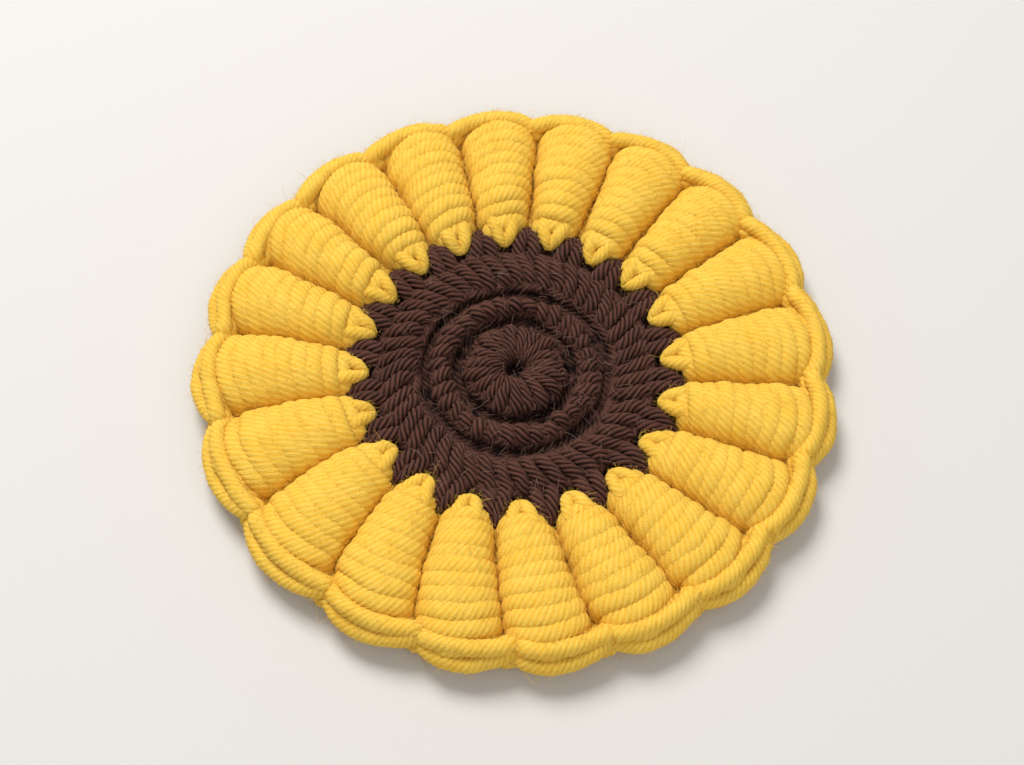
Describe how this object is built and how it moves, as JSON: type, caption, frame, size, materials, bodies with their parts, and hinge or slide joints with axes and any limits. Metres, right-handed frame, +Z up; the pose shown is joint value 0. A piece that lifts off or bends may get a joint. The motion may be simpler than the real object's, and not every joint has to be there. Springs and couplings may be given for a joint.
{
  "type": "crocheted sunflower coaster",
  "caption": "Round flat crocheted coaster: a brown middle worked in rounds, a ring of fat yellow roll-stitch petals and a chain edging, to stand a cup on.",
  "frame": {"origin": "middle of the coaster's outline, on its underside", "axes": "+Z up through the thickness, from the underside to the face with the petals; +X and +Y across the coaster"},
  "size_m": [0.1113, 0.1111, 0.009],
  "materials": {
    "brown_yarn": "matte, soft and slightly hairy plied yarn",
    "yellow_yarn": "matte, soft and slightly hairy plied yarn"
  },
  "bodies": {
    "root": {"centre_round_1": "brown_yarn", "centre_round_2": "brown_yarn", "centre_round_3": "brown_yarn", "petal_01": "yellow_yarn", "petal_02": "yellow_yarn", "petal_03": "yellow_yarn", "petal_04": "yellow_yarn", "petal_05": "yellow_yarn", "petal_06": "yellow_yarn", "petal_07": "yellow_yarn", "petal_08": "yellow_yarn", "petal_09": "yellow_yarn", "petal_10": "yellow_yarn", "petal_11": "yellow_yarn", "petal_12": "yellow_yarn", "petal_13": "yellow_yarn", "petal_14": "yellow_yarn", "petal_15": "yellow_yarn", "petal_16": "yellow_yarn", "petal_17": "yellow_yarn", "petal_18": "yellow_yarn", "petal_19": "yellow_yarn", "petal_20": "yellow_yarn", "edge_link_01": "yellow_yarn", "edge_link_02": "yellow_yarn", "edge_link_03": "yellow_yarn", "edge_link_04": "yellow_yarn", "edge_link_05": "yellow_yarn", "edge_link_06": "yellow_yarn", "edge_link_07": "yellow_yarn", "edge_link_08": "yellow_yarn", "edge_link_09": "yellow_yarn", "edge_link_10": "yellow_yarn", "edge_link_11": "yellow_yarn", "edge_link_12": "yellow_yarn", "edge_link_13": "yellow_yarn", "edge_link_14": "yellow_yarn", "edge_link_15": "yellow_yarn", "edge_link_16": "yellow_yarn", "edge_link_17": "yellow_yarn", "edge_link_18": "yellow_yarn", "edge_link_19": "yellow_yarn", "edge_link_20": "yellow_yarn"}
  },
  "joints": []
}
